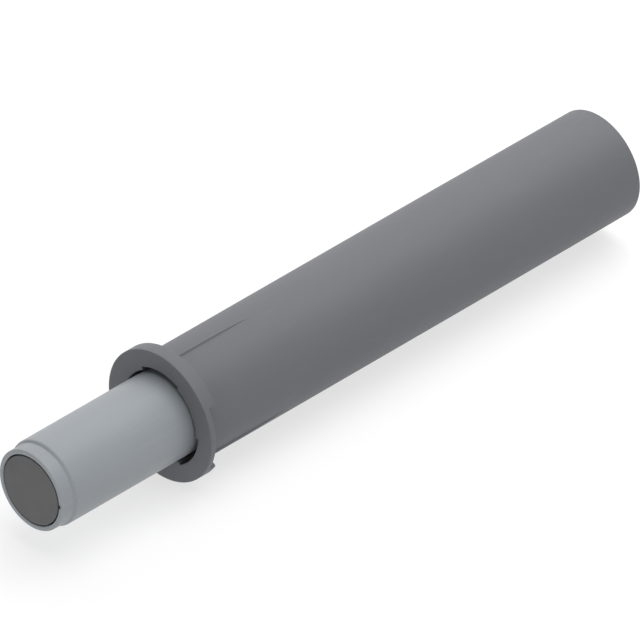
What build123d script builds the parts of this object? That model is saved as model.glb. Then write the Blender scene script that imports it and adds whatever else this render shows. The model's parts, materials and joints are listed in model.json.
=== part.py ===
from build123d import *
from math import degrees
import os

# Soft close damper that is pushed into a drilled hole, in millimetres.
# The origin is the centre of the flange's back face, +Y runs along the hole and +Z is up.
# Sizes follow each other from the tube inwards, and places from the flange backwards.

os.makedirs("parts", exist_ok=True)

# Housing
tube_diameter = 10.0
tip_diameter = 9.9
tube_length = 50.7
straight_length = 31.8
tip_chamfer = 0.1
housing_wall = 0.54
flange_overhang = 1.1
flange_thickness = 1.35
flange_chamfer = 0.1
mouth_chamfer = 0.06
notch_angle = 62.0
notch_lip = 0.55
notch_draft = 0.05
floor_thickness = 2.8
end_wall = 1.4
gate_dimple_diameter = 1.8
gate_dimple_depth = 0.2

# Crush ribs that bite into the drilled hole, on the outside of the housing
crush_rib_count = 3
crush_rib_width = 0.25
crush_rib_height = 0.165
crush_rib_drop = 0.035
crush_rib_straight = 5.6
crush_rib_length = 9.2

# Channels in the housing's bore, which leave lands between them that guide and key the plunger
channel_count = 3
channel_angle = 57.0
land_gap = 0.22

# Plunger
mouth_gap = 0.51
projection = 15.07
stroke = 14.0
nose_step = 0.22
nose_length = 1.33
nose_chamfer = 0.08
rim_width = 0.44
pad_thickness = 1.0
pad_recess = 0.02
pad_chamfer = 0.04
nose_wall = 1.2
sleeve_wall = 0.8
counterbore_step = 0.25

# Piston rod and what it carries
rod_diameter = 2.0
neck_diameter = 1.4
neck_tip = 0.35
clip_groove_depth = 0.2
clip_thickness = 0.35
clip_width = 0.8
clip_mouth = 0.8
clip_relief_diameter = 0.5
clip_relief_angle = 110.0
washer_thickness = 0.4
shoulder_washer_width = 1.3
piston_hub_diameter = 3.8
piston_hub_length = 0.6
front_flange = 0.8
rear_flange = 1.2
ring_thickness = 1.0
ring_width = 0.55
ring_flow_gap = 0.35
ring_float = 0.25
flow_cut_count = 4
flow_cut_width = 0.9
bleed_cut_width = 0.35
foot_diameter = 4.4
foot_skin = 0.4
foot_chamfer = 0.15

# Return spring
wire_diameter = 0.5
wire_sides = 8
coil_count = 8
spring_margin = 0.6
spring_gap = 0.3

# Seal stack in the rear of the sleeve
retainer_thickness = 1.0
bleed_hole_count = 4
bleed_hole_diameter = 0.6
foam_hole_gap = 0.2
seal_washer_thickness = 0.5
seal_length = 2.2
seal_lip_depth = 0.9
seal_web = 0.45
guide_length = 3.0
o_ring_section = 0.6
o_ring_sides = 8
plug_length = 2.0
collar_thickness = 1.8
cap_hole_gap = 0.15
cap_chamfer = 0.15

# Clearances, each on the radius or on one side
running_gap = 0.05
ring_gap = 0.03
piston_gap = 0.08
rod_gap = 0.03
pad_gap = 0.12
seat_gap = 0.02
stop_gap = 0.12
float_gap = 0.02

# Radii that follow from the sizes above
tube_r = tube_diameter / 2
tip_r = tip_diameter / 2
flange_r = tube_r + flange_overhang
bore_r = tube_r - housing_wall
plunger_r = bore_r - mouth_gap
land_r = plunger_r + land_gap
nose_r = plunger_r - nose_step
pocket_r = nose_r - rim_width
chamber_r = plunger_r - sleeve_wall
counterbore_r = chamber_r + counterbore_step
stack_r = counterbore_r - seat_gap
rod_r = rod_diameter / 2
neck_r = neck_diameter / 2
groove_r = neck_r - clip_groove_depth
spring_r = chamber_r - spring_gap
foot_r = foot_diameter / 2
ring_outer_r = chamber_r - ring_gap
ring_inner_r = ring_outer_r - ring_width
piston_r = chamber_r - piston_gap

# Places along Y, from the nose to the floor, with the plunger out
nose_y = -flange_thickness - projection
pad_y = nose_y + pad_recess
pocket_y = pad_y + pad_thickness
chamber_y = pocket_y + nose_wall
spring_length = stroke + coil_count * wire_diameter + spring_margin
spring_washer_y = chamber_y + spring_length
piston_y = spring_washer_y + washer_thickness
flange_y = piston_y + piston_hub_length
groove_y = flange_y + front_flange
ring_y = groove_y + float_gap
groove_end_y = ring_y + ring_thickness + ring_float + float_gap
piston_end_y = groove_end_y + rear_flange
shoulder_y = piston_end_y + washer_thickness
retainer_y = shoulder_y + float_gap
foam_y = retainer_y + retainer_thickness
floor_y = tube_length - floor_thickness
cap_end_y = floor_y - stop_gap - stroke
collar_y = cap_end_y - collar_thickness
plug_y = collar_y - plug_length
guide_y = plug_y - guide_length
seal_y = guide_y - seal_length
seal_washer_y = seal_y - seal_washer_thickness


# A side view given as (radius, y) corners, some of them chamfered
def side_view(corners, chamfers=None):
    face = make_face(Polyline(*corners, close=True))
    for index, length in (chamfers or {}).items():
        corner = face.vertices().sort_by_distance(corners[index])[0]
        face = chamfer(corner, length)
    return face


# Solids of revolution about Y, and sectors of them that are centred on +X
def turned(corners, chamfers=None):
    return revolve(side_view(corners, chamfers), axis=Axis.Y)


def turned_sector(corners, angle, chamfers=None):
    sector = revolve(side_view(corners, chamfers), axis=Axis.Y, revolution_arc=angle)
    return Rot(Y=-angle / 2) * sector


def ring(inner_r, outer_r, start_y, end_y):
    return turned([(inner_r, start_y), (outer_r, start_y), (outer_r, end_y), (inner_r, end_y)])


def around(solid, count, first_angle=0.0):
    step = 360 / count
    return [Rot(Y=first_angle + step * index) * solid for index in range(count)]


# A bar along Y that stands out along X, from one radius to another
def radial_bar(inner_r, outer_r, width, start_y, end_y):
    depth = outer_r - inner_r
    length = end_y - start_y
    centre = Pos((inner_r + outer_r) / 2, (start_y + end_y) / 2, 0)
    return centre * Box(depth, length, width)


# A bar along Y with a side view of its own
def profiled_bar(corners, width):
    return extrude(side_view(corners), amount=width / 2, both=True)


# The housing's bore, out to its lands or to the floor of its channels
def bore_corners(radius):
    front_y = -flange_thickness
    return [
        (0, front_y),
        (radius + mouth_chamfer, front_y),
        (radius, front_y + mouth_chamfer),
        (radius, floor_y),
        (0, floor_y),
    ]


# Housing: tube, flange and closed floor in one moulding
def make_housing():
    front_y = -flange_thickness
    body = turned(
        [
            (0, front_y),
            (flange_r, front_y),
            (flange_r, 0),
            (tube_r, 0),
            (tube_r, straight_length),
            (tip_r, tube_length),
            (0, tube_length),
        ],
        chamfers={1: flange_chamfer, 2: flange_chamfer, 5: tip_chamfer},
    )

    lip_y = front_y + notch_lip
    reach_r = flange_r + flange_overhang
    notch = turned_sector(
        [(tube_r + notch_draft, lip_y), (reach_r, lip_y), (reach_r, 0), (tube_r, 0)],
        notch_angle,
    )
    body -= around(notch, 2)

    rib_root_r = tube_r - housing_wall / 2
    rib_top_r = tube_r + crush_rib_height
    crush_rib = profiled_bar(
        [
            (rib_root_r, lip_y),
            (rib_top_r, lip_y),
            (rib_top_r, 0),
            (rib_top_r - crush_rib_drop, crush_rib_straight),
            (tube_r, crush_rib_length),
            (rib_root_r, crush_rib_length),
        ],
        crush_rib_width,
    )
    body += around(crush_rib, crush_rib_count, -90)

    body -= turned(bore_corners(land_r))
    channel = turned_sector(bore_corners(bore_r), channel_angle)
    body -= around(channel, channel_count, -90)

    socket = ring(0, foot_r + seat_gap, floor_y, tube_length - end_wall)
    gate_dimple = ring(0, gate_dimple_diameter / 2, tube_length - gate_dimple_depth, tube_length)
    return body - socket - gate_dimple


# Plunger sleeve: nose with a pocket, chamber for the piston, counterbore for the seals
def make_plunger_sleeve():
    step_y = nose_y + nose_length
    body = turned(
        [
            (0, nose_y),
            (nose_r, nose_y),
            (nose_r, step_y),
            (plunger_r, step_y),
            (plunger_r, collar_y),
            (0, collar_y),
        ],
        chamfers={1: nose_chamfer, 3: nose_chamfer},
    )
    body -= ring(0, pocket_r, nose_y, pocket_y)
    body -= ring(0, chamber_r, chamber_y, retainer_y)
    body -= ring(0, counterbore_r, retainer_y, collar_y)
    return body


def make_bumper_pad():
    pad_r = pocket_r - pad_gap
    corners = [(0, pad_y), (pad_r, pad_y), (pad_r, pocket_y), (0, pocket_y)]
    return turned(corners, chamfers={1: pad_chamfer})


# Piston rod: shoulder for the piston, thinner neck with a clip groove, plain rear end
def make_piston_rod():
    clip_y = spring_washer_y - clip_thickness
    return turned(
        [
            (0, clip_y - neck_tip),
            (neck_r, clip_y - neck_tip),
            (neck_r, clip_y),
            (groove_r, clip_y),
            (groove_r, spring_washer_y),
            (neck_r, spring_washer_y),
            (neck_r, shoulder_y),
            (rod_r, shoulder_y),
            (rod_r, tube_length - end_wall - foot_skin),
            (0, tube_length - end_wall - foot_skin),
        ]
    )


def make_rod_foot():
    foot_end_y = tube_length - end_wall
    body = turned(
        [(0, floor_y), (foot_r, floor_y), (foot_r, foot_end_y), (0, foot_end_y)],
        chamfers={2: foot_chamfer},
    )
    return body - ring(0, rod_r + seat_gap, floor_y, foot_end_y - foot_skin)


def make_shoulder_washer():
    inner_r = neck_r + seat_gap
    return ring(inner_r, inner_r + shoulder_washer_width, piston_end_y, shoulder_y)


def make_spring_washer():
    return ring(neck_r + seat_gap, spring_r, spring_washer_y, piston_y)


# Clip: an open ring with three lobes that grip the groove, parted by the mouth and two reliefs
def make_piston_clip():
    clip_y = spring_washer_y - clip_thickness
    inner_r = groove_r + seat_gap
    outer_r = inner_r + clip_width
    body = ring(inner_r, outer_r, clip_y, spring_washer_y)
    body -= radial_bar(0, outer_r + clip_width, clip_mouth, clip_y, spring_washer_y)
    relief = Pos(inner_r, 0, 0) * ring(0, clip_relief_diameter / 2, clip_y, spring_washer_y)
    return body - [Rot(Y=clip_relief_angle) * relief, Rot(Y=-clip_relief_angle) * relief]


# Piston: a hub for the spring's washer, then two flanges with the valve ring's groove between.
# The front flange has wide cuts, which the ring leaves open, and the rear one a narrow bleed.
def make_piston():
    groove_floor_r = ring_inner_r - ring_flow_gap
    inner_r = neck_r + seat_gap
    hub_r = piston_hub_diameter / 2
    body = turned(
        [
            (inner_r, piston_y),
            (hub_r, piston_y),
            (hub_r, flange_y),
            (piston_r, flange_y),
            (piston_r, groove_y),
            (groove_floor_r, groove_y),
            (groove_floor_r, groove_end_y),
            (piston_r, groove_end_y),
            (piston_r, piston_end_y),
            (inner_r, piston_end_y),
        ]
    )
    flow_cut = radial_bar(groove_floor_r, chamber_r, flow_cut_width, flange_y, groove_y)
    body -= around(flow_cut, flow_cut_count)
    return body - radial_bar(
        groove_floor_r, chamber_r, bleed_cut_width, groove_end_y, piston_end_y
    )


def make_valve_ring():
    return ring(ring_inner_r, ring_outer_r, ring_y, ring_y + ring_thickness)


# Return spring: a helix whose end coils are ground flat on their seats.
# Its round wire is drawn with eight sides, and the O-ring's section too.
def make_return_spring():
    wire_r = wire_diameter / 2
    middle_r = spring_r - wire_r
    pitch = spring_length / coil_count
    path = Helix(pitch=pitch, height=spring_length, radius=middle_r)
    section = Plane(origin=path @ 0, z_dir=path % 0) * RegularPolygon(wire_r, wire_sides)
    coils = Rot(X=-90) * sweep(section, path=path)
    slab = ring(0, spring_r * 2, 0, spring_length)
    return Pos(0, chamber_y, 0) * (coils & slab)


def make_foam_retainer():
    hole_ring_r = (rod_r + chamber_r) / 2
    body = ring(rod_r + foam_hole_gap, stack_r, retainer_y, foam_y)
    bleed_hole = Pos(hole_ring_r, 0, 0) * ring(0, bleed_hole_diameter / 2, retainer_y, foam_y)
    return body - around(bleed_hole, bleed_hole_count)


def make_compensator_foam():
    return ring(rod_r + foam_hole_gap, stack_r, foam_y, seal_washer_y)


def make_seal_washer():
    return ring(rod_r + foam_hole_gap, stack_r, seal_washer_y, seal_y)


# Rod seal: an inner and an outer lip that point at the fluid, joined by a web
def make_rod_seal():
    inner_r = rod_r + rod_gap
    hollow_y = seal_y + seal_lip_depth
    return turned(
        [
            (inner_r, seal_y),
            (inner_r + seal_web, seal_y),
            (inner_r + seal_web * 2, hollow_y),
            (stack_r - seal_web * 2, hollow_y),
            (stack_r - seal_web, seal_y),
            (stack_r, seal_y),
            (stack_r, guide_y),
            (inner_r, guide_y),
        ]
    )


def make_rod_guide():
    groove_floor_r = stack_r - o_ring_section
    middle_y = guide_y + guide_length / 2
    half_groove = o_ring_section / 2 + seat_gap
    return turned(
        [
            (rod_r + rod_gap, guide_y),
            (stack_r, guide_y),
            (stack_r, middle_y - half_groove),
            (groove_floor_r, middle_y - half_groove),
            (groove_floor_r, middle_y + half_groove),
            (stack_r, middle_y + half_groove),
            (stack_r, plug_y),
            (rod_r + rod_gap, plug_y),
        ]
    )


def make_guide_o_ring():
    section_r = o_ring_section / 2
    middle = Pos(stack_r - section_r, guide_y + guide_length / 2)
    section = RegularPolygon(section_r, o_ring_sides, major_radius=False)
    return revolve(middle * Rot(Z=180 / o_ring_sides) * section, axis=Axis.Y)


# End cap: a plug in the sleeve, and a collar with a tab for each of the housing's channels
def make_end_cap():
    collar_r = land_r - running_gap
    tab_r = bore_r - running_gap
    hole_r = rod_r + cap_hole_gap
    body = turned(
        [
            (hole_r, plug_y),
            (stack_r, plug_y),
            (stack_r, collar_y),
            (collar_r, collar_y),
            (collar_r, cap_end_y),
            (hole_r, cap_end_y),
        ],
        chamfers={3: cap_chamfer, 4: cap_chamfer},
    )
    tab = turned_sector(
        [(stack_r, collar_y), (tab_r, collar_y), (tab_r, cap_end_y), (stack_r, cap_end_y)],
        channel_angle - 2 * degrees(running_gap / land_r),
        chamfers={1: cap_chamfer, 2: cap_chamfer},
    )
    return body + around(tab, channel_count, -90)


pieces = {
    "housing": make_housing(),
    "rod_foot": make_rod_foot(),
    "piston_rod": make_piston_rod(),
    "shoulder_washer": make_shoulder_washer(),
    "piston": make_piston(),
    "valve_ring": make_valve_ring(),
    "spring_washer": make_spring_washer(),
    "piston_clip": make_piston_clip(),
    "return_spring": make_return_spring(),
    "plunger_sleeve": make_plunger_sleeve(),
    "bumper_pad": make_bumper_pad(),
    "foam_retainer": make_foam_retainer(),
    "compensator_foam": make_compensator_foam(),
    "seal_washer": make_seal_washer(),
    "rod_seal": make_rod_seal(),
    "rod_guide": make_rod_guide(),
    "guide_o_ring": make_guide_o_ring(),
    "end_cap": make_end_cap(),
}

for name, shape in pieces.items():
    export_step(shape, f"parts/{name}.step")
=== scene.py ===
import json
from math import asin, atan2, ceil, cos, pi, radians, sin, tau

import bmesh
import bpy
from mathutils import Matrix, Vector


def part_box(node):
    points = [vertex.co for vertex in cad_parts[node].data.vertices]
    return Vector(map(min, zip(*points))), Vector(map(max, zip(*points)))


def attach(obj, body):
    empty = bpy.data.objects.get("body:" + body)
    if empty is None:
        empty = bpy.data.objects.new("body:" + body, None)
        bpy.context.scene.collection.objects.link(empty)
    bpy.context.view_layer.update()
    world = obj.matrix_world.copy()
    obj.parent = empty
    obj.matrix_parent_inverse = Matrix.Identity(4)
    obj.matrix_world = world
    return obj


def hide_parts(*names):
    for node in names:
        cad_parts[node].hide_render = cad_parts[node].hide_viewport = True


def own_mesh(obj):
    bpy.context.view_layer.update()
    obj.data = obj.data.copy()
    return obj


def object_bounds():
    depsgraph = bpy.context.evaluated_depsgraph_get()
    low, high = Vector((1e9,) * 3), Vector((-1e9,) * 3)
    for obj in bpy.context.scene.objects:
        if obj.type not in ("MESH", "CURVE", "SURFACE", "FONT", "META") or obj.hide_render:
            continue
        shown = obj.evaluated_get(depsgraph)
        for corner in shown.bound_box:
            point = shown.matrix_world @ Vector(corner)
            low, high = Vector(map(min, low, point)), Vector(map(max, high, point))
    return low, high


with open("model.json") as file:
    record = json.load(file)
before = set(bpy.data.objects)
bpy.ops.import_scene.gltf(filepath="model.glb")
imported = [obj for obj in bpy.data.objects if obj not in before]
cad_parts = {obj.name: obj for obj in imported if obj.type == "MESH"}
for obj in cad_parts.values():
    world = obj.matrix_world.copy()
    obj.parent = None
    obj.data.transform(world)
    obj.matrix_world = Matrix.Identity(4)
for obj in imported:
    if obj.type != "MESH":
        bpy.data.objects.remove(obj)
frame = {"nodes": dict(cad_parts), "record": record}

cad_low, cad_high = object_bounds()
nodes = frame["nodes"]
mm = 0.001

# Camera
# The picture has no perspective, so a very long lens looks down the diagonal of +X, -Y and +Z.
# It is framed on a point of the tube's axis, whose pixel in the 640 by 640 picture is known.
picture_side = 640
frame_width = 53.5 * mm
lens = 1500
sensor = 36
axis_point = Vector((0, 17 * mm, 0))
axis_point_pixel = Vector((315.9, 326.0))


def make_camera():
    data = bpy.data.cameras.new("camera")
    data.lens = lens
    data.sensor_width = sensor
    camera = bpy.data.objects.new("camera", data)
    bpy.context.scene.collection.objects.link(camera)
    back = Vector((1, -1, 1)).normalized()
    turn = (-back).to_track_quat("-Z", "Y")
    right = turn @ Vector((1, 0, 0))
    up = turn @ Vector((0, 1, 0))
    centre = Vector((picture_side / 2, picture_side / 2))
    offset = (axis_point_pixel - centre) * frame_width / picture_side
    distance = frame_width * lens / sensor
    camera.location = axis_point - right * offset.x + up * offset.y + back * distance
    camera.rotation_euler = turn.to_euler()
    data.clip_start = distance / 2
    data.clip_end = distance * 2
    bpy.context.scene.camera = camera


make_camera()

# Floor and light
# A sheet of matt paper that glows by itself, so that it is white and its shadows stay faint, and five
# round softboxes. The small one hangs close above the closed end, the brighter end of the tube.
floor_side = 4
paper_grey = 0.3
paper_glow = 0.65
softbox_spread = 1.1
middle_y = (cad_low.y + cad_high.y) / 2


def make_floor():
    bpy.ops.mesh.primitive_plane_add(size=floor_side, location=(0, middle_y, cad_low.z))
    floor = bpy.context.object
    floor.name = "floor"
    paper = bpy.data.materials.new("white_paper")
    paper.use_nodes = True
    shader = paper.node_tree.nodes["Principled BSDF"]
    shader.inputs["Base Color"].default_value = (paper_grey, paper_grey, paper_grey, 1)
    shader.inputs["Roughness"].default_value = 0.95
    shader.inputs["Specular IOR Level"].default_value = 0.1
    shader.inputs["Emission Color"].default_value = (1, 1, 1, 1)
    shader.inputs["Emission Strength"].default_value = paper_glow
    floor.data.materials.append(paper)


def make_softbox(name, direction, distance, power):
    light = bpy.data.lights.new(name, "AREA")
    light.shape = "DISK"
    light.size = distance * softbox_spread
    light.energy = power
    softbox = bpy.data.objects.new(name, light)
    bpy.context.scene.collection.objects.link(softbox)
    away = Vector(direction).normalized()
    softbox.location = Vector((0, middle_y, 0)) + away * distance
    softbox.rotation_euler = away.to_track_quat("Z", "Y").to_euler()


def make_world():
    world = bpy.data.worlds.new("studio")
    bpy.context.scene.world = world
    world.use_nodes = True
    tree = world.node_tree
    room = tree.nodes["Background"]
    room.inputs["Color"].default_value = (1, 1, 1, 1)
    room.inputs["Strength"].default_value = 0.02
    backdrop = tree.nodes.new("ShaderNodeBackground")
    backdrop.inputs["Color"].default_value = (1, 1, 1, 1)
    backdrop.inputs["Strength"].default_value = 1.0
    rays = tree.nodes.new("ShaderNodeLightPath")
    choice = tree.nodes.new("ShaderNodeMixShader")
    tree.links.new(rays.outputs["Is Camera Ray"], choice.inputs[0])
    tree.links.new(room.outputs[0], choice.inputs[1])
    tree.links.new(backdrop.outputs[0], choice.inputs[2])
    tree.links.new(choice.outputs[0], tree.nodes["World Output"].inputs["Surface"])


make_floor()
make_softbox("top", (0.1, 0.1, 1), 0.6, 2.7)
make_softbox("above_end", (-0.1, 0.9, 1), 0.2, 0.22)
make_softbox("left", (-1, 0.5, 0.6), 0.4, 0.88)
make_softbox("right", (1, 0.2, 0.7), 0.8, 2.85)
make_softbox("front", (0.1, -1, 0.05), 0.8, 4.8)
make_world()
bpy.context.scene.view_settings.view_transform = "Standard"

# Housing
# One grey moulding that is pushed into a drilled hole: a tube with a closed, slightly tapered rear
# end, a flange with two notches in its back, three crush ribs, and three channels along its bore.
low, high = (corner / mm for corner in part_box("housing"))
front_y = low.y
end_y = high.y
flange_r = high.x
hole = frame["record"]["mounts"][0]["dims"]
tube_r = hole["r_mm"]
straight_y = hole["length_mm"]
tip_taper = 0.05
housing_wall = 0.54
floor_thickness = 2.8
end_wall = 1.4
notch_lip = 0.55
rib_height = 0.165
tip_r = tube_r - tip_taper
bore_r = tube_r - housing_wall
floor_y = end_y - floor_thickness
socket_y = end_y - end_wall
socket_r = 2.22
land_r = 4.17
mouth_chamfer = 0.06
lip_y = front_y + notch_lip
notch_draft = 0.05
rib_r = tube_r + rib_height
rib_drop = 0.035
rib_foot = 0.37
rib_crown = 0.13
rib_straight_y = 5.6
rib_end_y = 9.2
dimple_r = 0.9
dimple_depth = 0.2
flange_rounding = 0.08
lip_rounding = 0.08
tip_rounding = 0.12
notch_half = radians(31)
rib_half = asin(rib_foot / 2 / tube_r)
channel_half = radians(28.5)
notch_centres = (radians(0), radians(180))
rib_centres = (radians(90), radians(210), radians(330))
facet_angle = radians(2.5)
sharp_angle = radians(30)
weld = 0.002


class Level:
    """A number that varies over a surface. Sums written on it become Math nodes."""

    def __init__(self, finish, socket):
        self.finish = finish
        self.socket = socket

    def math(self, operation, first, second):
        return self.finish.node("ShaderNodeMath", {"operation": operation}, {0: first, 1: second})

    def __add__(self, other):
        return self.math("ADD", self, other)

    def __sub__(self, other):
        return self.math("SUBTRACT", self, other)

    def __rsub__(self, other):
        return self.math("SUBTRACT", other, self)

    def __mul__(self, other):
        return self.math("MULTIPLY", self, other)

    __radd__ = __add__
    __rmul__ = __mul__


class Finish:
    """A procedural material, and the one way to add a node to it."""

    def __init__(self, name):
        self.material = bpy.data.materials.new(name)
        self.material.use_nodes = True
        self.tree = self.material.node_tree
        self.shader = self.tree.nodes["Principled BSDF"]
        self.place = self.node("ShaderNodeTexCoord", output="Object")

    def node(self, kind, settings=None, inputs=None, output=0):
        node = self.tree.nodes.new(kind)
        for name, value in (settings or {}).items():
            setattr(node, name, value)
        for name, value in (inputs or {}).items():
            self.feed(node.inputs[name], value)
        return Level(self, node.outputs[output])

    def feed(self, socket, value):
        if isinstance(value, Level):
            self.tree.links.new(value.socket, socket)
        else:
            socket.default_value = value

    def set(self, **inputs):
        for name, value in inputs.items():
            self.feed(self.shader.inputs[name.replace("_", " ")], value)

    def noise(self, size, detail=2.0, stretch=(1, 1, 1)):
        scale = Vector([1 / (size * mm * along) for along in stretch])
        place = self.node("ShaderNodeMapping", inputs={"Vector": self.place, "Scale": scale})
        return self.node("ShaderNodeTexNoise", inputs={"Vector": place, "Scale": 1.0, "Detail": detail})

    def step(self, value, start, end):
        ends = {"Value": value, "From Min": start, "From Max": end}
        return self.node("ShaderNodeMapRange", {"interpolation_type": "SMOOTHSTEP"}, ends)

    def radius(self):
        flat = self.node("ShaderNodeVectorMath", {"operation": "MULTIPLY"}, {0: self.place, 1: (1, 0, 1)})
        length = self.node("ShaderNodeVectorMath", {"operation": "LENGTH"}, {0: flat}, output="Value")
        return length * (1 / mm)

    def along(self, axis):
        return self.node("ShaderNodeSeparateXYZ", inputs={0: self.place}, output=axis) * (1 / mm)

    def mixed(self, share, first, second):
        colours = {0: share, 6: (*first, 1) if isinstance(first, tuple) else first, 7: (*second, 1)}
        return self.node("ShaderNodeMix", {"data_type": "RGBA"}, colours, output=2)

    def bump(self, height, depth, under=None):
        inputs = {"Height": height, "Distance": depth * mm, "Strength": 1.0}
        if under:
            inputs["Normal"] = under
        return self.node("ShaderNodeBump", inputs=inputs)


def grey_moulding():
    """Spark-eroded grey plastic: fine grain, faint flow mottling, and edges that handling has polished."""
    finish = Finish("grey_moulding")
    grain = finish.noise(0.11, detail=3.0)
    flow = finish.noise(4.0, detail=3.0, stretch=(1, 3, 1))
    scuffs = finish.step(finish.noise(0.7, detail=4.0, stretch=(0.4, 3.5, 0.4)), 0.62, 0.74)
    radius = finish.radius()
    rim_start = flange_r - 0.16
    rim_end = flange_r - 0.02
    crest_start = tube_r + 0.07
    fade = 0.05
    rim = finish.step(radius, rim_start, rim_end)
    crest = finish.step(radius, crest_start, rib_r) * finish.step(finish.along("Y"), -fade, fade)
    worn = rim * 0.1 + crest * 0.4
    colour = finish.mixed(flow, (0.112, 0.115, 0.126), (0.125, 0.128, 0.140))
    colour = finish.mixed(worn * 0.22, colour, (0.175, 0.178, 0.19))
    colour = finish.mixed(scuffs * 0.10, colour, (0.17, 0.173, 0.184))
    finish.set(Base_Color=colour, Roughness=grain * 0.10 + 0.50 - worn * 0.08 - scuffs * 0.06)
    finish.set(Normal=finish.bump(grain, 0.006), Specular_IOR_Level=0.3)
    return finish


def housing_outline(notched, ribbed, channelled):
    """The moulding's half section from the rear end to the bore's floor, as (radius, y, rounding)."""
    outline = [
        (0, end_y - dimple_depth, 0),
        (dimple_r, end_y - dimple_depth, 0),
        (dimple_r, end_y, 0),
        (tip_r, end_y, tip_rounding),
        (tube_r, straight_y, 0),
        (tube_r, rib_end_y, 0),
    ]
    if ribbed:
        outline += [(rib_r - rib_drop, rib_straight_y, 0), (rib_r, 0, 0)]
    else:
        outline += [(tube_r, rib_straight_y, 0), (tube_r, 0, 0)]
    if notched:
        outline += [] if ribbed else [(tube_r + notch_draft, lip_y, 0)]
        outline += [(rib_r, lip_y, 0), (flange_r, lip_y, lip_rounding)]
    else:
        outline += [] if ribbed else [(rib_r, 0, 0)]
        outline += [(flange_r, 0, flange_rounding), (flange_r, lip_y - lip_rounding, 0)]
    outline += [(flange_r, front_y, flange_rounding), (bore_r + mouth_chamfer, front_y, 0)]
    if channelled:
        outline += [(bore_r, front_y + mouth_chamfer, 0), (bore_r, floor_y, 0), (land_r, floor_y, 0)]
    else:
        outline += [(land_r + mouth_chamfer, front_y, 0), (land_r, front_y + mouth_chamfer, 0)]
        outline += [(land_r, floor_y, 0)]
    return outline + [(socket_r, floor_y, 0), (socket_r, socket_y, 0), (0, socket_y, 0)]


def spin_outline(shape, outline, start=0.0, turn=tau):
    """Adds the surface that an outline of (radius, y, rounding) corners sweeps about the Y axis."""
    line = bmesh.new()
    outwards = Vector((cos(start), 0, sin(start)))
    corners = [line.verts.new(outwards * radius + Vector((0, y, 0))) for radius, y, rounding in outline]
    for pair in zip(corners, corners[1:]):
        line.edges.new(pair)
    for corner, (radius, y, rounding) in zip(corners, outline):
        if rounding:
            bmesh.ops.bevel(
                line, geom=[corner], offset=rounding, offset_type="OFFSET", segments=4,
                profile=0.5, affect="VERTICES", material=-1,
            )
    bmesh.ops.spin(
        line, geom=[*line.verts, *line.edges], cent=(0, 0, 0), axis=(0, -1, 0), dvec=(0, 0, 0),
        angle=turn, steps=ceil(turn / facet_angle), use_merge=turn == tau, use_duplicate=False,
    )
    swept = bpy.data.meshes.new("swept")
    line.to_mesh(swept)
    line.free()
    shape.from_mesh(swept)
    bpy.data.meshes.remove(swept)


def finished(shape, name, node, body, finish):
    """Makes a shape drawn in millimetres the piece that stands for its node and moves with its body."""
    bmesh.ops.remove_doubles(shape, verts=shape.verts, dist=weld)
    bmesh.ops.recalc_face_normals(shape, faces=shape.faces)
    bmesh.ops.scale(shape, vec=(mm, mm, mm), verts=shape.verts)
    mesh = bpy.data.meshes.new(name)
    shape.to_mesh(mesh)
    shape.free()
    mesh.shade_smooth()
    mesh.set_sharp_from_angle(angle=sharp_angle)
    mesh.materials.append(finish.material)
    piece = bpy.data.objects.new(name, mesh)
    bpy.context.scene.collection.objects.link(piece)
    shading = piece.modifiers.new("flat faces stay flat", "WEIGHTED_NORMAL")
    shading.keep_sharp = True
    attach(piece, body)
    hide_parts(node)
    return piece


def turn_from(centre, angle):
    """How far round an angle is from a centre, one way or the other."""
    return (angle - centre + pi) % tau - pi


def within(angle, centres, half):
    """Whether an angle lies in one of the sectors round these centres."""
    return any(abs(turn_from(centre, angle)) < half for centre in centres)


def join_sectors(shape):
    """Welds sectors of unlike outlines and fills the small walls where one steps to the next."""
    bmesh.ops.remove_doubles(shape, verts=shape.verts, dist=weld)
    walls = [edge for edge in shape.edges if edge.is_boundary]
    bmesh.ops.holes_fill(shape, edges=walls, sides=0)


def slope_ribs(shape):
    """Draws a rib's crest in from its foot, because a moulded rib has sloping sides."""
    slack = 0.01
    reach = rib_half * (1 + slack)
    for vert in shape.verts:
        radius = Vector((vert.co.x, vert.co.z)).length
        angle = atan2(vert.co.z, vert.co.x)
        on_crest = vert.co.y > -weld and tube_r + slack < radius < rib_r + slack
        for centre in rib_centres:
            aside = turn_from(centre, angle)
            if on_crest and abs(aside) < reach:
                height = (radius - tube_r) / rib_height
                turned = centre + aside * (1 - height * (1 - rib_crown / rib_foot))
                vert.co = Vector((cos(turned) * radius, vert.co.y, sin(turned) * radius))


def make_housing():
    edges = [0.0]
    for centres, half in ((notch_centres, notch_half), (rib_centres, rib_half), (rib_centres, channel_half)):
        edges += [(centre + side) % tau for centre in centres for side in (-half, half)]
    edges = sorted(edges) + [tau]
    shape = bmesh.new()
    for start, end in zip(edges, edges[1:]):
        middle = (start + end) / 2
        outline = housing_outline(
            within(middle, notch_centres, notch_half),
            within(middle, rib_centres, rib_half),
            within(middle, rib_centres, channel_half),
        )
        spin_outline(shape, outline, start, end - start)
    join_sectors(shape)
    slope_ribs(shape)
    finished(shape, "housing_moulding", "housing", "housing_body", grey_moulding())


make_housing()

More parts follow.
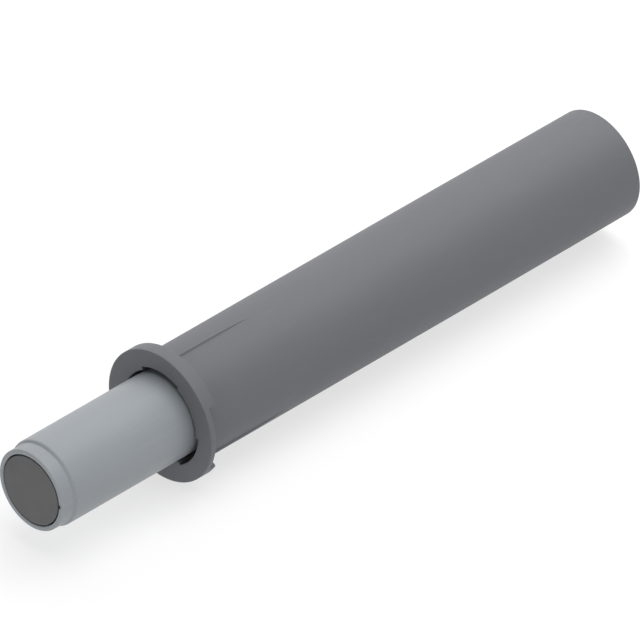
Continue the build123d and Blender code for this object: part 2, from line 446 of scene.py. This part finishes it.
# Plunger sleeve
# The pale moulding that slides in the housing: a stepped nose with a pocket for the bumper pad, then
# the piston's chamber, and a wider counterbore for the seals. A tiny keyway nicks the nose's rim.
low, high = (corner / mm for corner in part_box("plunger_sleeve"))
nose_y = low.y
collar_y = high.y
plunger_r = high.x
nose_step = 0.22
nose_length = 1.33
rim_width = 0.44
nose_wall = 1.2
sleeve_wall = 0.8
counterbore_step = 0.25
nose_r = plunger_r - nose_step
step_y = nose_y + nose_length
pocket_r = nose_r - rim_width
pocket_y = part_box("bumper_pad")[1].y / mm
chamber_r = plunger_r - sleeve_wall
chamber_y = pocket_y + nose_wall
counterbore_r = chamber_r + counterbore_step
retainer_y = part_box("foam_retainer")[0].y / mm
nose_rounding = 0.12
mouth_rounding = 0.1
step_fillet = 0.08
step_rounding = 0.12
step_slope = 0.22
keyway_depth = 0.2
keyway_length = 0.35
keyway_half = radians(3.4)


def pale_moulding():
    """Pale smooth plastic with faint lengthwise drag marks from sliding, cloudier flow marks, and a painted
    highlight on the nose's rounded front edge.
    """
    finish = Finish("pale_moulding")
    grain = finish.noise(0.09, detail=2.0)
    flow = finish.noise(3.0, detail=3.0, stretch=(1, 2.5, 1))
    drag = finish.noise(0.25, detail=3.0, stretch=(0.6, 40, 0.6))
    marks = finish.step(drag, 0.56, 0.72)
    # The nose's rounded front edge is painted lighter: a painted highlight.
    highlight_start = nose_r - 0.12
    highlight_back = nose_y + 0.14
    highlight_ring = finish.step(finish.radius(), highlight_start, nose_r)
    edge = highlight_ring * finish.step(finish.along("Y"), highlight_back, nose_y)
    colour = finish.mixed(flow, (0.228, 0.247, 0.264), (0.251, 0.270, 0.289))
    colour = finish.mixed(marks * 0.12, colour, (0.32, 0.34, 0.355))
    # Mixes in the painted highlight on the nose's front edge.
    colour = finish.mixed(edge * 0.25, colour, (0.33, 0.35, 0.36))
    finish.set(Base_Color=colour, Roughness=grain * 0.08 + 0.40 - marks * 0.07)
    relief = finish.bump(grain, 0.003)
    relief = finish.bump(drag, 0.004, under=relief)
    finish.set(Normal=relief, Specular_IOR_Level=0.35)
    return finish


def sleeve_outline(keyed):
    """The moulding's half section from the pocket round to the chamber, as (radius, y, rounding)."""
    outline = [(0, pocket_y, 0), (pocket_r, pocket_y, 0)]
    if keyed:
        keyway_r = pocket_r + keyway_depth
        outline += [(pocket_r, nose_y + keyway_length, 0), (keyway_r, nose_y + keyway_length, 0)]
        outline += [(keyway_r, nose_y, nose_rounding / 4)]
    else:
        outline += [(pocket_r, nose_y, mouth_rounding)]
    return outline + [
        (nose_r, nose_y, nose_rounding),
        (nose_r, step_y, step_fillet),
        (plunger_r, step_y + step_slope, step_rounding),
        (plunger_r, collar_y, 0),
        (counterbore_r, collar_y, 0),
        (counterbore_r, retainer_y, 0),
        (chamber_r, retainer_y, 0),
        (chamber_r, chamber_y, 0),
        (0, chamber_y, 0),
    ]


def make_sleeve():
    shape = bmesh.new()
    spin_outline(shape, sleeve_outline(True), -keyway_half, 2 * keyway_half)
    spin_outline(shape, sleeve_outline(False), keyway_half, tau - 2 * keyway_half)
    join_sectors(shape)
    finished(shape, "sleeve_moulding", "plunger_sleeve", "plunger_body", pale_plastic)


pale_plastic = pale_moulding()
make_sleeve()

# Bumper pad
# A punched disc of dark rubber, pressed into the nose until it is about level with its rim.
# It is a little smaller than its pocket, which leaves a dark line round it.
low, high = (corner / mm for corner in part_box("bumper_pad"))
pad_front_y = low.y
pad_back_y = high.y
pad_r = high.x
pad_rounding = 0.04


def bumper_rubber():
    """Matt rubber with a pebbled skin and a dry bloom that lightens it in places."""
    finish = Finish("bumper_rubber")
    pebbles = finish.noise(0.14, detail=3.0)
    bloom = finish.noise(1.6, detail=4.0)
    colour = finish.mixed(bloom, (0.098, 0.0985, 0.1005), (0.119, 0.1195, 0.1215))
    finish.set(Base_Color=colour, Roughness=pebbles * 0.12 + 0.72)
    finish.set(Normal=finish.bump(pebbles, 0.012), Specular_IOR_Level=0.3)
    return finish


def make_pad():
    shape = bmesh.new()
    outline = [
        (0, pad_back_y, 0),
        (pad_r, pad_back_y, 0),
        (pad_r, pad_front_y, pad_rounding),
        (0, pad_front_y, 0),
    ]
    spin_outline(shape, outline)
    finished(shape, "rubber_disc", "bumper_pad", "plunger_body", bumper_rubber())


make_pad()

# End cap
# Pale moulding in the rear of the sleeve, seen only when the housing is opened. Its collar has a tab
# for each channel of the bore. It is the solid as it comes, in the sleeve's own plastic.


def dress(names, finish):
    """Gives nodes that stay as they are a finish of their own."""
    for name in names:
        for holder in nodes[name].material_slots:
            holder.material = finish.material


dress(["end_cap"], pale_plastic)

# Piston rod
# Ground steel rod, turned down at its front end to a neck for the piston, with a groove for the clip.
# The tool has left fine rings round it, and its edges are broken.
low, high = (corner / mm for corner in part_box("piston_rod"))
clip_low, clip_high = (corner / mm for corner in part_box("piston_clip"))
rod_tip_y = low.y
rod_end_y = high.y
rod_r = high.x
neck_r = 0.7
groove_r = 0.5
seat_gap = 0.02
rod_gap = 0.03
foam_hole_gap = 0.2
shoulder_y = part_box("shoulder_washer")[1].y / mm


def turned_steel():
    """Bright steel with fine rings along its length, and oil that clouds its shine in patches."""
    finish = Finish("turned_steel")
    rings = finish.noise(0.05, detail=3.0, stretch=(400, 1, 400))
    oil = finish.noise(1.8, detail=3.0)
    colour = finish.mixed(oil, (0.50, 0.51, 0.52), (0.60, 0.60, 0.60))
    finish.set(Base_Color=colour, Metallic=1.0, Roughness=rings * 0.14 + oil * 0.10 + 0.16)
    finish.set(Normal=finish.bump(rings, 0.003))
    return finish


def turned_piece(name, node, body, finish, outline):
    """A piece that is one outline of (radius, y, rounding) corners swept all round."""
    shape = bmesh.new()
    spin_outline(shape, outline)
    return finished(shape, name, node, body, finish)


def make_rod():
    outline = [
        (0, rod_tip_y, 0),
        (neck_r, rod_tip_y, 0.12),
        (neck_r, clip_low.y, 0.02),
        (groove_r, clip_low.y, 0.03),
        (groove_r, clip_high.y, 0.03),
        (neck_r, clip_high.y, 0.02),
        (neck_r, shoulder_y, 0),
        (rod_r, shoulder_y, 0.06),
        (rod_r, rod_end_y, 0.06),
        (0, rod_end_y, 0),
    ]
    turned_piece("ground_rod", "piston_rod", "housing_body", turned_steel(), outline)


make_rod()

# Washers and clip
# Punched sheet steel, plated dull: one side's edges are drawn in by the punch, the other's are sharp.
# The clip has three lobes and stays as the solid has it.


def plated_sheet():
    """Dull zinc plating: cloudy spangle, faint rolling lines and a fine tooth."""
    finish = Finish("plated_sheet")
    spangle = finish.noise(0.5, detail=4.0)
    rolling = finish.noise(0.08, detail=2.0, stretch=(1, 1, 25))
    colour = finish.mixed(spangle, (0.46, 0.47, 0.49), (0.60, 0.61, 0.62))
    finish.set(Base_Color=colour, Metallic=1.0, Roughness=spangle * 0.16 + rolling * 0.08 + 0.26)
    finish.set(Normal=finish.bump(rolling, 0.002))
    return finish


def make_washer(name, node, body, inner_r, finish, drawn_in=0.1):
    """A flat ring whose front edges are rounded by the punch."""
    low, high = (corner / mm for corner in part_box(node))
    middle_y = (low.y + high.y) / 2
    outline = [
        (inner_r, middle_y, 0),
        (inner_r, high.y, 0),
        (high.x, high.y, 0),
        (high.x, low.y, drawn_in),
        (inner_r, low.y, drawn_in / 2),
        (inner_r, middle_y, 0),
    ]
    turned_piece(name, node, body, finish, outline)


def make_washers():
    sheet = plated_sheet()
    make_washer("punched_shoulder_washer", "shoulder_washer", "housing_body", neck_r + seat_gap, sheet)
    make_washer("punched_spring_seat", "spring_washer", "housing_body", neck_r + seat_gap, sheet)
    make_washer("punched_seal_washer", "seal_washer", "plunger_body", rod_r + foam_hole_gap, sheet)
    dress(["piston_clip"], sheet)


make_washers()

# Piston, valve ring, rod foot, foam retainer and rod guide
# Small mouldings in uncoloured plastic. The piston, with its flow cuts, and the perforated retainer
# stay as the solids have them. The others are drawn again with the soft edges of a moulding.
wear_gap = 0.03
ring_width = 0.55
o_ring_section = 0.6
half_groove = o_ring_section / 2 + seat_gap


def natural_moulding():
    """Uncoloured acetal: waxy off-white, cloudy inside, with a faint sheen where it has run."""
    finish = Finish("natural_moulding")
    cloud = finish.noise(1.2, detail=3.0)
    grain = finish.noise(0.12, detail=2.0)
    run_start = chamber_r - 0.2
    run = finish.step(finish.radius(), run_start, chamber_r - wear_gap)
    colour = finish.mixed(cloud, (0.66, 0.63, 0.55), (0.74, 0.72, 0.66))
    colour = finish.mixed(run * 0.3, colour, (0.58, 0.56, 0.50))
    finish.set(Base_Color=colour, Roughness=grain * 0.10 + 0.40 - run * 0.12)
    finish.set(Normal=finish.bump(grain, 0.003), Specular_IOR_Level=0.45)
    return finish


def make_mouldings():
    natural = natural_moulding()
    dress(["piston", "foam_retainer"], natural)

    low, high = (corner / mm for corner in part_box("valve_ring"))
    inner_r = high.x - ring_width
    middle_y = (low.y + high.y) / 2
    outline = [
        (inner_r, middle_y, 0),
        (inner_r, high.y, 0.06),
        (high.x, high.y, 0.1),
        (high.x, low.y, 0.1),
        (inner_r, low.y, 0.06),
        (inner_r, middle_y, 0),
    ]
    turned_piece("floating_ring", "valve_ring", "valve_body", natural, outline)

    low, high = (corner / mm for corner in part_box("rod_foot"))
    hole_r = rod_r + seat_gap
    outline = [
        (0, rod_end_y, 0),
        (hole_r, rod_end_y, 0),
        (hole_r, low.y, 0.05),
        (high.x, low.y, 0.08),
        (high.x, high.y, 0.15),
        (0, high.y, 0),
    ]
    turned_piece("foot_button", "rod_foot", "housing_body", natural, outline)

    low, high = (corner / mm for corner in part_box("rod_guide"))
    hole_r = rod_r + rod_gap
    groove_floor_r = high.x - o_ring_section
    middle_y = (low.y + high.y) / 2
    outline = [
        (hole_r, middle_y, 0),
        (hole_r, low.y, 0.08),
        (high.x, low.y, 0.12),
        (high.x, middle_y - half_groove, 0.04),
        (groove_floor_r, middle_y - half_groove, 0.06),
        (groove_floor_r, middle_y + half_groove, 0.06),
        (high.x, middle_y + half_groove, 0.04),
        (high.x, high.y, 0.12),
        (hole_r, high.y, 0.08),
        (hole_r, middle_y, 0),
    ]
    turned_piece("guide_bush", "rod_guide", "plunger_body", natural, outline)


make_mouldings()

# Return spring
# Round spring wire, coiled with its end turns closed, between the spring washer and the nose.
low, high = (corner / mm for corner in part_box("return_spring"))
wire_r = 0.25
coil_r = high.x - wire_r
spring_low_y = low.y
spring_high_y = high.y
active_turns = 6
closed_gap = 0.01
closed_pitch = 2 * wire_r + closed_gap
wire_sides = 16
steps_a_turn = 48


def drawn_wire():
    """Oil-tempered wire: dark steel with fine drawing lines and patches of straw-coloured temper."""
    finish = Finish("drawn_wire")
    lines = finish.noise(0.04, detail=2.0, stretch=(8, 1, 8))
    temper = finish.noise(1.4, detail=2.0)
    colour = finish.mixed(temper, (0.36, 0.36, 0.37), (0.50, 0.47, 0.42))
    finish.set(Base_Color=colour, Metallic=1.0, Roughness=lines * 0.14 + 0.24)
    finish.set(Normal=finish.bump(lines, 0.002))
    return finish


def make_spring():
    shape = bmesh.new()
    ring = bmesh.ops.create_circle(shape, segments=wire_sides, radius=wire_r)["verts"]
    bmesh.ops.translate(shape, verts=ring, vec=(coil_r, spring_low_y + wire_r, 0))
    section = [*ring, *shape.edges]
    shape.faces.new(ring)
    open_rise = spring_high_y - spring_low_y - 2 * wire_r - 2 * closed_pitch
    for turns, rise in ((1, closed_pitch), (active_turns, open_rise), (1, closed_pitch)):
        steps = steps_a_turn * turns
        coil = bmesh.ops.spin(
            shape, geom=section, cent=(0, 0, 0), axis=(0, 1, 0), dvec=(0, rise / steps, 0),
            angle=tau * turns, steps=steps, use_merge=False, use_duplicate=False,
        )
        section = coil["geom_last"]
    shape.faces.new([part for part in section if isinstance(part, bmesh.types.BMVert)])
    piece = finished(shape, "coil_spring", "return_spring", "housing_body", drawn_wire())
    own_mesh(piece)


make_spring()

# Seals
# A moulded rubber seal with two lips round the rod and in the sleeve, and an O-ring on the guide.
# Both are soft black rubber, wiped shiny where they touch.
low, high = (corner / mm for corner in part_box("rod_seal"))
seal_y = low.y
seal_end_y = high.y
seal_r = high.x
lip_depth = 0.9
web = 0.45
ring_section_r = o_ring_section / 2
seal_hole_r = rod_r + rod_gap


def seal_rubber():
    """Black nitrile: satin, with faint flow clouds and a wiped shine at its lips."""
    finish = Finish("seal_rubber")
    cloud = finish.noise(0.8, detail=3.0)
    skin = finish.noise(0.08, detail=2.0)
    wiped_end = seal_hole_r + 0.12
    wiped = finish.step(finish.radius(), wiped_end, seal_hole_r)
    colour = finish.mixed(cloud, (0.018, 0.018, 0.019), (0.030, 0.030, 0.031))
    finish.set(Base_Color=colour, Roughness=skin * 0.12 + 0.42 - wiped * 0.18)
    finish.set(Normal=finish.bump(skin, 0.004))
    return finish


def make_seals():
    black = seal_rubber()
    outline = [
        (seal_hole_r, seal_end_y, 0),
        (seal_hole_r, seal_y, 0.08),
        (seal_hole_r + web, seal_y, 0.12),
        (seal_hole_r + 2 * web, seal_y + lip_depth, 0.15),
        (seal_r - 2 * web, seal_y + lip_depth, 0.15),
        (seal_r - web, seal_y, 0.12),
        (seal_r, seal_y, 0.08),
        (seal_r, seal_end_y, 0.1),
        (seal_hole_r, seal_end_y, 0),
    ]
    turned_piece("lip_seal", "rod_seal", "plunger_body", black, outline)

    low, high = (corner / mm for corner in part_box("guide_o_ring"))
    shape = bmesh.new()
    ring = bmesh.ops.create_circle(shape, segments=24, radius=ring_section_r)["verts"]
    bmesh.ops.translate(shape, verts=ring, vec=(high.x - ring_section_r, (low.y + high.y) / 2, 0))
    bmesh.ops.spin(
        shape, geom=[*ring, *shape.edges], cent=(0, 0, 0), axis=(0, 1, 0), dvec=(0, 0, 0),
        angle=tau, steps=96, use_merge=True, use_duplicate=False,
    )
    finished(shape, "round_ring", "guide_o_ring", "plunger_body", black)


make_seals()

# Compensator foam
# A ring punched from closed-cell foam, which gives way as the rod enters the fluid.
# Its cut faces are dimpled by the cells.
low, high = (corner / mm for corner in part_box("compensator_foam"))
foam_low_y = low.y
foam_high_y = high.y
foam_r = high.x
foam_hole_r = rod_r + foam_hole_gap


def closed_cell_foam():
    """Dark grey foam: round cells of a tenth of a millimetre and up, with pale walls between."""
    finish = Finish("closed_cell_foam")
    cells = finish.node(
        "ShaderNodeTexVoronoi", {"feature": "SMOOTH_F1"}, {"Vector": finish.place, "Scale": 1 / (0.16 * mm)},
    )
    walls = finish.step(cells, 0.25, 0.65)
    cloud = finish.noise(1.5, detail=3.0)
    colour = finish.mixed(walls, (0.045, 0.045, 0.048), (0.10, 0.10, 0.105))
    colour = finish.mixed(cloud * 0.3, colour, (0.13, 0.13, 0.13))
    finish.set(Base_Color=colour, Roughness=0.95, Specular_IOR_Level=0.2)
    finish.set(Normal=finish.bump(cells, 0.04))
    return finish


def make_foam():
    middle_y = (foam_low_y + foam_high_y) / 2
    outline = [
        (foam_hole_r, middle_y, 0),
        (foam_hole_r, foam_low_y, 0.1),
        (foam_r, foam_low_y, 0.2),
        (foam_r, foam_high_y, 0.2),
        (foam_hole_r, foam_high_y, 0.1),
        (foam_hole_r, middle_y, 0),
    ]
    turned_piece("foam_ring", "compensator_foam", "plunger_body", closed_cell_foam(), outline)


make_foam()
